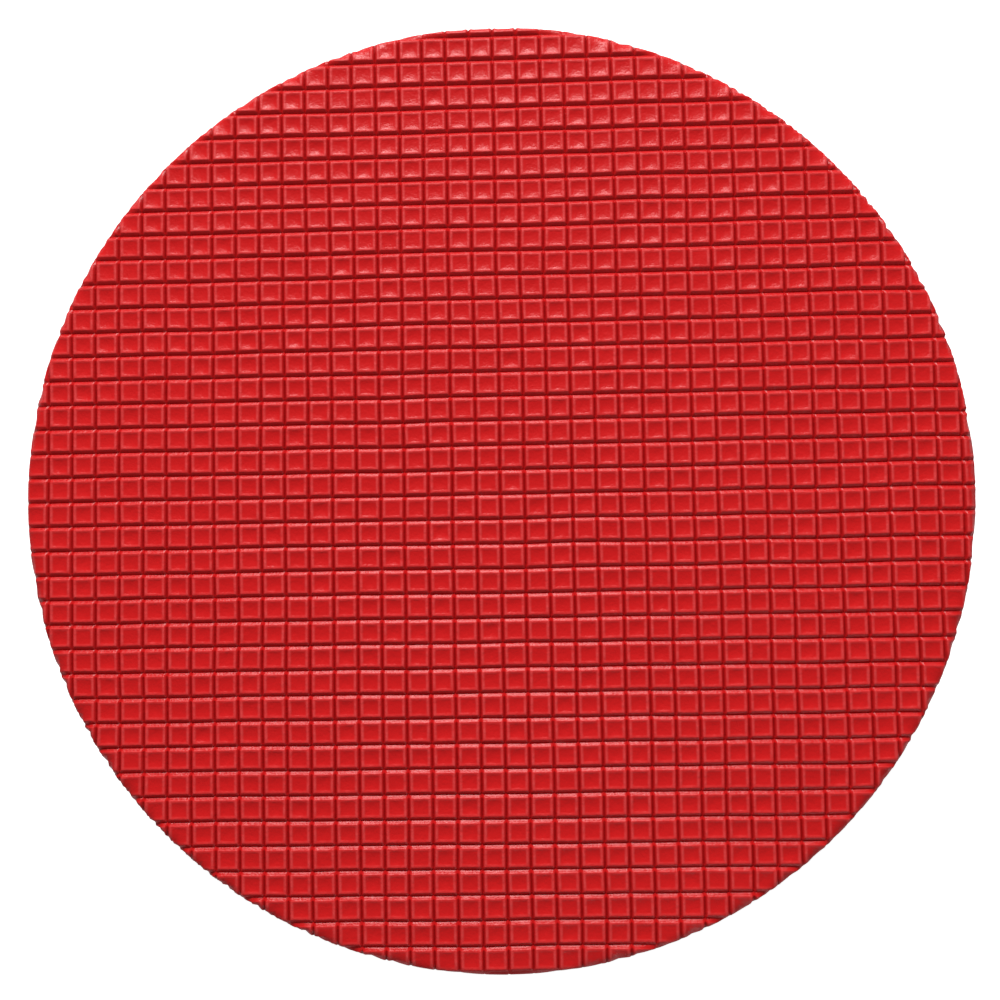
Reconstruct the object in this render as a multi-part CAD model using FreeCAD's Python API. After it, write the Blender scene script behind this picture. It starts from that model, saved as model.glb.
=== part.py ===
"""Round hard-shell case for a table tennis paddle and four balls.

Two moulded pans meet at a zipper that runs round the rim and fold about a fabric spine at the back.
Each pan is a red grid-embossed cover, a rigid core and a fabric lining. The base pan holds a die-cut
foam tray, and the lid pan holds a mesh pocket.

Frame: millimetres, +Z up, origin at the middle of the underside. The zipper's closed point and the
carry strap face -Y, and the spine is at +Y. Bearings are degrees from the front (-Y) towards +X.
"""
import FreeCAD
import Part
import math
import os

V = FreeCAD.Vector
UP = V(0, 0, 1)
NO_LENGTH = 0.01          # shorter than this counts as no length at all
CUT_PAST = 1.0            # how far a cutting tool runs past what it cuts

# Case
CASE_R = 140.0            # outside radius of the embossed cover
CASE_H = 60.0             # closed height
COVER_T = 1.6             # embossed vinyl cover
CORE_T = 3.0              # rigid moulded core
LINING_T = 0.8            # knitted lining
CORNER_R = 2.0            # cover's outside corner
CORE_INNER_CORNER_R = 2.0
PARTING_Z = CASE_H / 2
RIM_GAP = 6.0             # parting plane to each pan's cut edge

# Rim trim, an L-section edging over the cut edge
TRIM_T = 0.9
TRIM_LEG = 4.0

# Zipper
TAPE_T = 0.6
TAPE_EDGE_Z = 17.5        # sewn edge of the base tape
TAPE_GAP = 1.0            # tape edge to the parting plane
COIL_T = 2.4
COIL_GAP = 0.8            # coil to the parting plane
COIL_H = 2.4
STOP_LENGTH_DEG = 1.4
STOP_GROW = 0.3           # how much a stop stands out from the coil

# Fabric spine
SPINE_HALF_DEG = 10.4
SPINE_T = 1.2
SPINE_EDGE_Z = 15.0       # sewn edge of the base leaf
SPINE_GAP = 0.3           # leaf to the parting plane

# Bearings at which the rim's pieces end, from the spine's edge
TRIM_SHORT_DEG = 0.3
TAPE_PAST_DEG = 1.2
COIL_SHORT_DEG = 2.8
TRIM_END = 180 - SPINE_HALF_DEG - TRIM_SHORT_DEG
TAPE_END = 180 - SPINE_HALF_DEG + TAPE_PAST_DEG
COIL_END = 180 - SPINE_HALF_DEG - COIL_SHORT_DEG

# Foam tray and what is on it
TRAY_R = 132.0
TRAY_LOWER_TOP_Z = 13.4
TRAY_UPPER_TOP_Z = 23.4
FACING_T = 1.0
HEAD_R = 80.0             # recess for the paddle's head
HEAD_Y = 47.0
GRIP_SLOT_W = 38.0        # slot for the paddle's handle
GRIP_SLOT_START_Y = -20.0
GRIP_SLOT_PAST = 10.0     # the slot runs out past the tray's edge
THUMB_R = 14.0
BALL_R = 21.5             # recess for a 40 mm ball
BALL_PLACES = ((54.0, -84.0), (92.0, -50.0))
BAND_W = 25.0             # elastic band over the handle slot
BAND_HALF_LENGTH = 30.0
BAND_T = 1.2
BAND_Y = -70.0
PATCH_LENGTH = 9.0
PATCH_T = 0.8

# Lid pocket
POCKET_R = 130.0
POCKET_GUSSET_T = 1.2
POCKET_MESH_T = 0.5
POCKET_MESH_Z = 48.4
POCKET_MOUTH_Y = 14.0
HEM_W = 8.0
HEM_Z = 47.9
HEM_T = 1.4

# Carry strap
STRAP_T = 2.0
STRAP_W = 15.0
STRAP_Z = 4.0
STRAP_CLEAR = 0.15        # strap end to the cover
STRAP_END = 31.0          # bearing of the strap's end
STRAP_STAND_OFF = 6.5     # clear gap at the middle
STRAP_ARCH_R = 90.0
STRAP_BLEND_R = 25.0

# Strap rivets
RIVET_BEARING = 26.5
RIVET_R = 2.0
RIVET_HOLE_R = 2.05
RIVET_HEAD_R = 4.5
RIVET_HEAD_T = 1.2
RIVET_HEAD_FILLET = 0.96
RIVET_HEAD_GAP = 0.1      # strap to the head's flat face
RIVET_FUSE = 0.2          # how far the shank runs into the head
RIVET_TAIL_R = 3.2
RIVET_TAIL_T = 0.8
RIVET_DRILL_PAST = 8.0    # how far the drill runs past the wall
WASHER_R = 5.0
WASHER_T = 0.75
WASHER_CLEAR = 0.05       # washer's edge to the lining

# Zipper sliders
SLIDER_REST = 3.2         # bearing of each slider when the case is closed
SLIDER_LENGTH = 13.0
SLIDER_W = 9.2
SLIDER_PLATE_T = 1.1
SLIDER_INNER_FACE_R = 133.4
SLIDER_OUTER_FACE_R = 138.1
SLIDER_EDGE_R = 1.6
SLIDER_FUSE = 0.2         # how far post and flange run into the outer plate
POST_INSET = 0.4          # nose to the post
FLANGE_T = 0.9
FLANGE_TIP_R = 135.3
POST_W = 0.9
POST_LENGTH = 3.4
BAIL_W = 2.6
BAIL_LENGTH = 10.0
BAIL_RISE = 3.2
BAIL_SLOPE = 1.4          # how far each end leans in over its rise
BAIL_EYE_RISE = 2.2
BAIL_EYE_LENGTH = 6.4

# Pull tabs
PIN_R = 0.7
PIN_AXIS_R = 140.4        # radius from the case axis to the pull's pin
LINK_HALF_W = 2.8
LINK_ARM_W = 1.2
LINK_LENGTH = 11.4
GRIP_START = 9.6
GRIP_END = 29.0
GRIP_W = 7.6
GRIP_T = 2.6
GRIP_FILLET = 0.8

CORE_R = CASE_R - COVER_T
LINING_R = CORE_R - CORE_T
TAPE_OUT_R = LINING_R - LINING_T
TAPE_IN_R = TAPE_OUT_R - TAPE_T
PAN_RIM_Z = PARTING_Z - RIM_GAP
FLOOR_Z = COVER_T + CORE_T + LINING_T
CEILING_Z = CASE_H - FLOOR_Z
FACING_TOP_Z = TRAY_UPPER_TOP_Z + FACING_T


def arc_edge(start, middle, end):
    return Part.Arc(start, middle, end).toShape()


def profile_face(corners):
    """Flat face in the XZ plane from (r, z) corners."""
    points = [V(r, 0, z) for r, z in corners]
    return Part.Face(Part.makePolygon(points + points[:1]))


def sector(face, start, end):
    """Turns an (r, z) face about the case axis from one bearing to another."""
    placed = face.copy()
    placed.rotate(V(0, 0, 0), UP, start - 90)
    return placed.revolve(V(0, 0, 0), UP, end - start)


def mirrored_to_lid(shape):
    return shape.mirror(V(0, 0, PARTING_Z), UP)


def on_bearing(shape, bearing):
    turned = shape.copy()
    turned.rotate(V(0, 0, 0), UP, bearing)
    return turned


def radial_cylinder(radius, inner_r, outer_r, z):
    """Cylinder along the front radius, from one distance off the case axis to another."""
    return Part.makeCylinder(radius, outer_r - inner_r, V(0, -inner_r, z), V(0, -1, 0))


def both_sides(shape, bearing):
    return [on_bearing(shape, bearing), on_bearing(shape, -bearing)]


# ---- Pans -------------------------------------------------------------------------------------

def pan(out_r, out_corner, in_r, in_corner, out_z, in_z, rim_z):
    """Round dish with rounded outside and inside corners, open upwards."""
    half = math.sqrt(0.5)
    oc = V(out_r - out_corner, 0, out_z + out_corner)
    ic = V(in_r - in_corner, 0, in_z + in_corner)
    edges = [
        Part.LineSegment(V(0, 0, out_z), V(oc.x, 0, out_z)).toShape(),
        arc_edge(
            V(oc.x, 0, out_z),
            V(oc.x + out_corner * half, 0, oc.z - out_corner * half),
            V(out_r, 0, oc.z),
        ),
        Part.LineSegment(V(out_r, 0, oc.z), V(out_r, 0, rim_z)).toShape(),
        Part.LineSegment(V(out_r, 0, rim_z), V(in_r, 0, rim_z)).toShape(),
        Part.LineSegment(V(in_r, 0, rim_z), V(in_r, 0, ic.z)).toShape(),
        arc_edge(
            V(in_r, 0, ic.z),
            V(ic.x + in_corner * half, 0, ic.z - in_corner * half),
            V(ic.x, 0, in_z),
        ),
        Part.LineSegment(V(ic.x, 0, in_z), V(0, 0, in_z)).toShape(),
        Part.LineSegment(V(0, 0, in_z), V(0, 0, out_z)).toShape(),
    ]
    return Part.Face(Part.Wire(edges)).revolve(V(0, 0, 0), UP, 360)


def rivet_holes(shape):
    """Cuts the two strap rivet holes through a wall."""
    drill = radial_cylinder(
        RIVET_HOLE_R, TAPE_IN_R - RIVET_DRILL_PAST, CASE_R + RIVET_DRILL_PAST, STRAP_Z + STRAP_W / 2
    )
    for hole in both_sides(drill, RIVET_BEARING):
        shape = shape.cut(hole)
    return shape


def cover_pan():
    return pan(CASE_R, CORNER_R, CORE_R, CORNER_R - COVER_T, 0, COVER_T, PAN_RIM_Z)


def core_pan():
    return pan(
        CORE_R, CORNER_R - COVER_T, LINING_R, CORE_INNER_CORNER_R,
        COVER_T, COVER_T + CORE_T, PAN_RIM_Z,
    )


def lining_pan():
    return pan(
        LINING_R, CORE_INNER_CORNER_R, TAPE_OUT_R, CORE_INNER_CORNER_R - LINING_T,
        COVER_T + CORE_T, FLOOR_Z, PAN_RIM_Z,
    )


def rim_trim():
    """Edging that wraps the pan's cut edge and the cover beside it."""
    top = PAN_RIM_Z + TRIM_T
    face = profile_face([
        (TAPE_OUT_R, PAN_RIM_Z), (CASE_R, PAN_RIM_Z), (CASE_R, PAN_RIM_Z - TRIM_LEG),
        (CASE_R + TRIM_T, PAN_RIM_Z - TRIM_LEG), (CASE_R + TRIM_T, top), (TAPE_OUT_R, top),
    ])
    return sector(face, -TRIM_END, TRIM_END)


# ---- Zipper -----------------------------------------------------------------------------------

def zipper_tape():
    top = PARTING_Z - TAPE_GAP
    face = profile_face([
        (TAPE_IN_R, TAPE_EDGE_Z), (TAPE_OUT_R, TAPE_EDGE_Z), (TAPE_OUT_R, top), (TAPE_IN_R, top),
    ])
    return sector(face, -TAPE_END, TAPE_END)


def coil_face(grow=0.0):
    top = PARTING_Z - COIL_GAP
    return profile_face([
        (TAPE_OUT_R, top - COIL_H - grow), (TAPE_OUT_R + COIL_T + grow, top - COIL_H - grow),
        (TAPE_OUT_R + COIL_T + grow, top), (TAPE_OUT_R, top),
    ])


def zipper_coil():
    return sector(coil_face(), -COIL_END, COIL_END)


def zipper_stops():
    """Moulded stop at each end of the coil."""
    ends = (COIL_END, COIL_END + STOP_LENGTH_DEG)
    return Part.makeCompound([
        sector(coil_face(STOP_GROW), *ends),
        sector(coil_face(STOP_GROW), -ends[1], -ends[0]),
    ])


def spine_leaf():
    """Half of the fabric spine, sewn to the outside of the base pan."""
    top = PARTING_Z - SPINE_GAP
    face = profile_face([
        (CASE_R, SPINE_EDGE_Z), (CASE_R + SPINE_T, SPINE_EDGE_Z),
        (CASE_R + SPINE_T, top), (CASE_R, top),
    ])
    return sector(face, 180 - SPINE_HALF_DEG, 180 + SPINE_HALF_DEG)


# ---- Foam tray --------------------------------------------------------------------------------

def grip_slot(z0, z1):
    length = TRAY_R + GRIP_SLOT_PAST + GRIP_SLOT_START_Y
    return Part.makeBox(
        GRIP_SLOT_W, length, z1 - z0, V(-GRIP_SLOT_W / 2, GRIP_SLOT_START_Y - length, z0)
    )


def ball_recesses(z0, z1):
    return [
        Part.makeCylinder(BALL_R, z1 - z0, V(side * x, y, z0))
        for x, y in BALL_PLACES for side in (-1, 1)
    ]


def paddle_outline(z0, z1):
    """Paddle head, thumb notches either side of it, and the slot for the handle."""
    tools = [Part.makeCylinder(HEAD_R, z1 - z0, V(0, HEAD_Y, z0)), grip_slot(z0, z1)]
    for side in (-1, 1):
        tools.append(Part.makeCylinder(THUMB_R, z1 - z0, V(side * HEAD_R, HEAD_Y, z0)))
    return tools


def tray_sheet(z0, z1, cutouts):
    sheet = Part.makeCylinder(TRAY_R, z1 - z0, V(0, 0, z0))
    low = z0 - CUT_PAST
    high = z1 + CUT_PAST
    for tool in cutouts(low, high) + ball_recesses(low, high):
        sheet = sheet.cut(tool)
    return sheet


def handle_band():
    return Part.makeBox(
        2 * BAND_HALF_LENGTH, BAND_W, BAND_T, V(-BAND_HALF_LENGTH, BAND_Y - BAND_W / 2, FACING_TOP_Z)
    )


def band_patches():
    z = FACING_TOP_Z + BAND_T
    inner = BAND_HALF_LENGTH - PATCH_LENGTH
    return Part.makeCompound([
        Part.makeBox(PATCH_LENGTH, BAND_W, PATCH_T, V(x, BAND_Y - BAND_W / 2, z))
        for x in (-BAND_HALF_LENGTH, inner)
    ])


# ---- Lid pocket -------------------------------------------------------------------------------

def front_part(radius, z0, z1, back_y):
    """Disc cut off at back_y, keeping the part towards the front."""
    disc = Part.makeCylinder(radius, z1 - z0, V(0, 0, z0))
    keep = Part.makeBox(4 * radius, 2 * radius, z1 - z0, V(-2 * radius, back_y - 2 * radius, z0))
    return disc.common(keep)


def pocket_mesh():
    return front_part(POCKET_R, POCKET_MESH_Z, POCKET_MESH_Z + POCKET_MESH_T, POCKET_MOUTH_Y)


def pocket_gusset():
    bottom = POCKET_MESH_Z + POCKET_MESH_T
    outside = front_part(POCKET_R, bottom, CEILING_Z, POCKET_MOUTH_Y)
    inside = Part.makeCylinder(
        POCKET_R - POCKET_GUSSET_T, CEILING_Z - bottom + 2 * CUT_PAST, V(0, 0, bottom - CUT_PAST)
    )
    return outside.cut(inside)


def pocket_hem():
    half = math.sqrt(POCKET_R ** 2 - (POCKET_MOUTH_Y + HEM_W) ** 2)
    return Part.makeBox(2 * half, HEM_W, HEM_T, V(-half, POCKET_MOUTH_Y, HEM_Z))


# ---- Carry strap ------------------------------------------------------------------------------

def strap_outline(offset):
    """Edges of the strap's line in plan, moved outwards by offset, from the left end to the right.

    The ends lie on the cover, the middle arches away from it, and a reversed arc joins the two.
    """
    wall_r = CASE_R + STRAP_CLEAR + STRAP_T / 2
    apex_r = CASE_R + STRAP_STAND_OFF + STRAP_T / 2
    arch_y = apex_r - STRAP_ARCH_R
    reach = wall_r + STRAP_BLEND_R
    cosine = (reach ** 2 + arch_y ** 2 - (STRAP_ARCH_R + STRAP_BLEND_R) ** 2) / (2 * reach * arch_y)
    blend_bearing = math.degrees(math.acos(cosine))

    def at(centre, radius, bearing):
        a = math.radians(bearing)
        return V(centre.x + radius * math.sin(a), centre.y - radius * math.cos(a), STRAP_Z)

    blend = at(V(0, 0, 0), reach, blend_bearing)
    arch = V(0, -arch_y, 0)
    arch_bearing = math.degrees(math.atan2(blend.x - arch.x, arch.y - blend.y))

    def blend_arc(side):
        centre = V(side * blend.x, blend.y, 0)
        radius = STRAP_BLEND_R - offset
        ends = (side * blend_bearing + 180, side * arch_bearing + 180)
        if side > 0:
            ends = ends[::-1]
        middle = (ends[0] + ends[1]) / 2
        return arc_edge(*(at(centre, radius, b) for b in (ends[0], middle, ends[1])))

    def wall_arc(start, end):
        middle = (start + end) / 2
        return arc_edge(*(at(V(0, 0, 0), wall_r + offset, b) for b in (start, middle, end)))

    arch_arc = arc_edge(*(
        at(arch, STRAP_ARCH_R + offset, b) for b in (-arch_bearing, 0, arch_bearing)
    ))
    return [
        wall_arc(-STRAP_END, -blend_bearing), blend_arc(-1), arch_arc, blend_arc(1),
        wall_arc(blend_bearing, STRAP_END),
    ]


def carry_strap():
    inner = strap_outline(-STRAP_T / 2)
    outer = strap_outline(STRAP_T / 2)
    ends = [
        Part.LineSegment(a.Vertexes[i].Point, b.Vertexes[i].Point).toShape()
        for a, b, i in ((inner[0], outer[0], 0), (inner[-1], outer[-1], -1))
    ]
    outline = Part.Wire(Part.__sortEdges__(inner + outer + ends))
    return rivet_holes(Part.Face(outline).extrude(V(0, 0, STRAP_W)))


def strap_rivet():
    """Domed head outside the strap, shank through the wall, flat tail inside the washer."""
    z = STRAP_Z + STRAP_W / 2
    head_r = CASE_R + STRAP_CLEAR + STRAP_T + RIVET_HEAD_GAP
    tail_r = washer_inner_r() - RIVET_TAIL_T
    head = radial_cylinder(RIVET_HEAD_R, head_r, head_r + RIVET_HEAD_T, z)
    rim = [e for e in head.Edges if abs(e.BoundBox.YMin + head_r + RIVET_HEAD_T) < NO_LENGTH
           and e.BoundBox.YLength < NO_LENGTH]
    head = head.makeFillet(RIVET_HEAD_FILLET, rim)
    shank = radial_cylinder(RIVET_R, tail_r, head_r + RIVET_FUSE, z)
    tail = radial_cylinder(RIVET_TAIL_R, tail_r, tail_r + RIVET_TAIL_T, z)
    return head.fuse(shank).fuse(tail).removeSplitter()


def washer_inner_r():
    """The flat washer's edge just clears the round lining."""
    sagitta = TAPE_OUT_R - math.sqrt(TAPE_OUT_R ** 2 - WASHER_R ** 2)
    return TAPE_OUT_R - sagitta - WASHER_CLEAR - WASHER_T


def strap_washer():
    z = STRAP_Z + STRAP_W / 2
    inner = washer_inner_r()
    disc = radial_cylinder(WASHER_R, inner, inner + WASHER_T, z)
    hole = radial_cylinder(RIVET_HOLE_R, inner - CUT_PAST, inner + WASHER_T + CUT_PAST, z)
    return disc.cut(hole)


# ---- Sliders and pulls ------------------------------------------------------------------------
# Built at the front with the nose at -X and the tail at +X, then turned to their bearing.

def slider_plate(inner_r, outer_r):
    plate = Part.makeBox(
        SLIDER_LENGTH, outer_r - inner_r, SLIDER_W,
        V(-SLIDER_LENGTH / 2, -outer_r, PARTING_Z - SLIDER_W / 2),
    )
    corners = [e for e in plate.Edges if e.BoundBox.XLength < NO_LENGTH
               and e.BoundBox.ZLength < NO_LENGTH]
    return plate.makeFillet(SLIDER_EDGE_R, corners)


def slider_body():
    """Outer and inner plates, the post that joins them at the nose, and the lower flange."""
    outer_r = SLIDER_OUTER_FACE_R + SLIDER_PLATE_T
    outer = slider_plate(SLIDER_OUTER_FACE_R, outer_r)
    inner = slider_plate(SLIDER_INNER_FACE_R - SLIDER_PLATE_T, SLIDER_INNER_FACE_R)
    post = Part.makeBox(
        POST_LENGTH, outer_r - SLIDER_INNER_FACE_R, POST_W,
        V(-SLIDER_LENGTH / 2 + POST_INSET, -outer_r + SLIDER_FUSE, PARTING_Z - POST_W / 2),
    )
    flange = Part.makeBox(
        SLIDER_LENGTH - 2 * SLIDER_EDGE_R, outer_r - FLANGE_TIP_R - SLIDER_FUSE, FLANGE_T,
        V(SLIDER_EDGE_R - SLIDER_LENGTH / 2, -outer_r + SLIDER_FUSE, PARTING_Z - SLIDER_W / 2),
    )
    return outer.fuse([inner, post, flange]).removeSplitter()


def slider_bail():
    """Arch on the outer plate that holds the pull's pin."""
    base_r = SLIDER_OUTER_FACE_R + SLIDER_PLATE_T
    low = PARTING_Z - BAIL_W / 2
    points = [
        V(-BAIL_LENGTH / 2, -base_r, low), V(BAIL_LENGTH / 2, -base_r, low),
        V(BAIL_LENGTH / 2 - BAIL_SLOPE, -base_r - BAIL_RISE, low),
        V(-BAIL_LENGTH / 2 + BAIL_SLOPE, -base_r - BAIL_RISE, low),
    ]
    arch = Part.Face(Part.makePolygon(points + points[:1])).extrude(V(0, 0, BAIL_W))
    eye = Part.makeBox(
        BAIL_EYE_LENGTH, BAIL_EYE_RISE, 2 * BAIL_W,
        V(-BAIL_EYE_LENGTH / 2, -base_r - BAIL_EYE_RISE, low - BAIL_W / 2),
    )
    return arch.cut(eye)


def pull_link():
    """Wire frame: a pin through the bail, two arms and a far bar."""
    pin = Part.makeCylinder(PIN_R, 2 * LINK_HALF_W, V(0, -PIN_AXIS_R, PARTING_Z - LINK_HALF_W), UP)
    pieces = []
    for z in (PARTING_Z - LINK_HALF_W, PARTING_Z + LINK_HALF_W - LINK_ARM_W):
        pieces.append(
            Part.makeBox(LINK_LENGTH, 2 * PIN_R, LINK_ARM_W, V(0, -PIN_AXIS_R - PIN_R, z))
        )
    pieces.append(Part.makeBox(
        LINK_ARM_W, 2 * PIN_R, 2 * LINK_HALF_W,
        V(LINK_LENGTH - LINK_ARM_W, -PIN_AXIS_R - PIN_R, PARTING_Z - LINK_HALF_W),
    ))
    return pin.fuse(pieces).removeSplitter()


def pull_grip():
    """Rubber grip moulded over the link's far end."""
    block = Part.makeBox(
        GRIP_END - GRIP_START, GRIP_T, GRIP_W,
        V(GRIP_START, -PIN_AXIS_R - GRIP_T / 2, PARTING_Z - GRIP_W / 2),
    )
    return block.makeFillet(GRIP_FILLET, block.Edges).cut(pull_link())


def place_slider_piece(shape, side):
    """side is 1 for the right-hand slider; the left-hand one is its mirror image."""
    if side < 0:
        shape = shape.mirror(V(0, 0, 0), V(1, 0, 0))
    return on_bearing(shape, side * SLIDER_REST)


# ---- Nodes ------------------------------------------------------------------------------------

def nodes():
    made = {
        "base_cover": rivet_holes(cover_pan()),
        "base_core": rivet_holes(core_pan()),
        "base_lining": rivet_holes(lining_pan()),
        "base_rim_trim": rim_trim(),
        "base_zipper_tape": zipper_tape(),
        "base_zipper_coil": zipper_coil(),
        "base_zipper_stops": zipper_stops(),
        "spine_base_leaf": spine_leaf(),
        "tray_lower_layer": tray_sheet(FLOOR_Z, TRAY_LOWER_TOP_Z, lambda a, b: [grip_slot(a, b)]),
        "tray_upper_layer": tray_sheet(TRAY_LOWER_TOP_Z, TRAY_UPPER_TOP_Z, paddle_outline),
        "tray_facing": tray_sheet(TRAY_UPPER_TOP_Z, FACING_TOP_Z, paddle_outline),
        "handle_band": handle_band(),
        "band_patches": band_patches(),
        "carry_strap": carry_strap(),
        "strap_rivets": Part.makeCompound(both_sides(strap_rivet(), RIVET_BEARING)),
        "strap_washers": Part.makeCompound(both_sides(strap_washer(), RIVET_BEARING)),
        "lid_cover": mirrored_to_lid(cover_pan()),
        "lid_core": mirrored_to_lid(core_pan()),
        "lid_lining": mirrored_to_lid(lining_pan()),
        "lid_rim_trim": mirrored_to_lid(rim_trim()),
        "lid_zipper_tape": mirrored_to_lid(zipper_tape()),
        "lid_zipper_coil": mirrored_to_lid(zipper_coil()),
        "lid_zipper_stops": mirrored_to_lid(zipper_stops()),
        "spine_lid_leaf": mirrored_to_lid(spine_leaf()),
        "pocket_mesh": pocket_mesh(),
        "pocket_gusset": pocket_gusset(),
        "pocket_hem": pocket_hem(),
    }
    for name, side in (("left", -1), ("right", 1)):
        made[f"slider_{name}_body"] = place_slider_piece(slider_body(), side)
        made[f"slider_{name}_bail"] = place_slider_piece(slider_bail(), side)
        made[f"pull_{name}_link"] = place_slider_piece(pull_link(), side)
        made[f"pull_{name}_grip"] = place_slider_piece(pull_grip(), side)
    return made


def main():
    os.makedirs("parts", exist_ok=True)
    for name, shape in nodes().items():
        volume = sum(s.Volume for s in shape.Solids)
        print(f"{name}: {len(shape.Solids)} solid(s), {volume / 1000:.2f} cm3, valid {shape.isValid()}")
        shape.exportStep(f"parts/{name}.step")


main()
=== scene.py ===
"""Looks of the round paddle case: embossed covers, zipper, spine, strap, tray and lid pocket.

Lengths are in millimetres until a mesh is made, and bearings are degrees from the front (-Y)
towards +X, as in the model's own frame.
"""
import math

import bmesh
import bpy
import numpy as np
from mathutils import Matrix, Vector
from mathutils.geometry import tessellate_polygon


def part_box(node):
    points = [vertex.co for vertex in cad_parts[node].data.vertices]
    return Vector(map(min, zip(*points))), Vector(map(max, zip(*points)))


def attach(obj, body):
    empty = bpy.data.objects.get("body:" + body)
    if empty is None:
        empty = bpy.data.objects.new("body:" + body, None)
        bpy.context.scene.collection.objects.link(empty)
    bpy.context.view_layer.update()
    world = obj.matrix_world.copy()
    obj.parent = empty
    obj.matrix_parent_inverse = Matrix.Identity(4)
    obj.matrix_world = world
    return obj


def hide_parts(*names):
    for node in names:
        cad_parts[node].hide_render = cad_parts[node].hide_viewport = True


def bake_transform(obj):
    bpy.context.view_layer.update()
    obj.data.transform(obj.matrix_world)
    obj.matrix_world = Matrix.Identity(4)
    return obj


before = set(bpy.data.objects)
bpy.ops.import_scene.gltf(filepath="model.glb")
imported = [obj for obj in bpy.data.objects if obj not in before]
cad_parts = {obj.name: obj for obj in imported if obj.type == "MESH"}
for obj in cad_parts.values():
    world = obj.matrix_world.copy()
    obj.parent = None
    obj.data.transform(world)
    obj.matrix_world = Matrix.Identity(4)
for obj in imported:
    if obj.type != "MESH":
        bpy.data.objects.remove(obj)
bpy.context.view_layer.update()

MM = 0.001
UP = np.array([0.0, 0.0, 1.0])
BACK = np.array([0.0, 1.0, 0.0])


def span(node):
    """Lowest and highest corner of a CAD node, in millimetres."""
    return [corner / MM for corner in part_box(node)]


# ---- Driving sizes ----
CASE_R = 140.0
CASE_H = round(span("lid_cover")[1].z, 2)
PARTING_Z = CASE_H / 2
COVER_T = 1.6
CORNER_R = 2.0
RIM_Z = round(span("lid_cover")[0].z, 2)     # cut edge of the lid's cover
BASE_RIM_Z = CASE_H - RIM_Z

# Embossed grid of the covers
PITCH_X = 7.082
PITCH_Y = 7.250
GRID_X = 1.34             # one groove line of each direction
GRID_Y = -1.02
GROOVE_DEPTH = 0.78
WALL_STRETCH = 1.45       # how far the sheet is drawn out where it turns down the wall
CORNER_RELIEF = 0.12      # share of the relief left on the corner
WALL_RELIEF = 0.4         # and lower down the wall
FULL_RELIEF_R = CASE_R - 1.5
RELIEF_FADE = 1.2         # run over which it changes
TRIM_COVERS = 2.5         # plain edge of the cover, under the rim trim

# Rim trim
TRIM_T = 0.9
TRIM_LEG = 4.0
TRIM_END = 169.3
STITCH_GAP = 3.2          # from one stitch to the next
STITCH_LENGTH = 2.3
STITCH_FILL = 0.75        # a stitch's most share of its gap, in a short row
STITCH_R = 0.22

# Lining, between the core and the tape
LINING_T = 0.7
LINING_OUT_R = 135.35
LINING_LOW_Z = 4.65
LINING_CORNER_R = 2.0
LINING_STEPS = 160

# Zipper
TAPE_END = 170.8
TAPE_IN_R = 134.0
TAPE_OUT_R = 134.6
TAPE_EDGE_Z = 17.5
TAPE_TOP_Z = 29.0
COIL_END = 166.8
FIRST_TOOTH = 0.4         # bearing past the coil's end
TOOTH_PITCH = 1.5
TOOTH_WIRE = 0.34
TOOTH_LEGS_R = (TAPE_OUT_R + 0.45, TAPE_OUT_R + 2.05)
TOOTH_FOOT_Z = 27.15
TOOTH_MESHED_Z = 30.16    # middle of the wire at the tooth's head, where the chain is closed
TOOTH_PARTED_Z = 28.86    # and where it's open, between the two sliders
OPEN_BEARING = 2.6
MESHED_BEARING = 3.6

# Spine
SPINE_HALF_DEG = 10.4
SPINE_IN_R = CASE_R + 0.03
SPINE_OUT_R = CASE_R + 1.2
SPINE_Z = (15.0, 45.0)
SPINE_STITCH_Z = (17.4, 42.6)
SPINE_BEND_HALF = 4.0     # its rows lie close together this far each side of the parting plane
SPINE_SEWN_IN = 0.25      # depth of its surface at its stitches
SPINE_CREASE = 0.3        # at the fold
SPINE_END_DROP = 0.55     # at its ends
SPINE_SIDE_DROP = 0.4     # and at its sides

# Tray and what is on it
FLOOR_Z = 5.4
TRAY_R = 132.0
TRAY_LOWER_TOP_Z = 13.4
TRAY_UPPER_TOP_Z = 23.4
FACING_TOP_Z = 24.4
HEAD_R = 80.0
HEAD_Y = 47.0
GRIP_SLOT_HALF = 19.0
GRIP_SLOT_START_Y = -20.0
THUMB_R = 14.0
BALL_R = 21.5
BALL_PLACES = ((54.0, -84.0), (92.0, -50.0))
BAND_W = 25.0
BAND_HALF = 30.0
BAND_T = 1.2
BAND_Y = -70.0
BAND_LIFT = 0.25          # its rise over the middle of the slot
PATCH_LENGTH = 9.0
PATCH_T = 0.8
PATCH_HEM = 1.3           # from its edge to its stitches

# Lid pocket
POCKET_R = 130.0
POCKET_MESH_Z = 48.4
POCKET_MESH_T = 0.5
POCKET_MOUTH_Y = 14.0
POCKET_CEILING_Z = 54.6
GUSSET_T = 1.2
MESH_PITCH = 3.3          # between the netting's holes
MESH_HOLE = 0.64          # a hole's share of its cell
MESH_SAG = 0.7
MESH_SAG_RUN = 30.0       # distance from the mouth over which it comes
HEM_W = 8.0
HEM_T = 1.4
HEM_MID_Z = 48.6

# Carry strap
STRAP_T = 2.0
STRAP_W = 15.0
STRAP_MID_Z = 11.5
STRAP_WALL_R = CASE_R + 0.15 + STRAP_T / 2
STRAP_END = 31.0
STRAP_APEX_R = CASE_R + 6.5 + STRAP_T / 2
STRAP_ARCH_R = 90.0
STRAP_BLEND_R = 25.0
RIVET_BEARING = 26.5
RIVET_SEAT_R = CASE_R + 2.25

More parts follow.
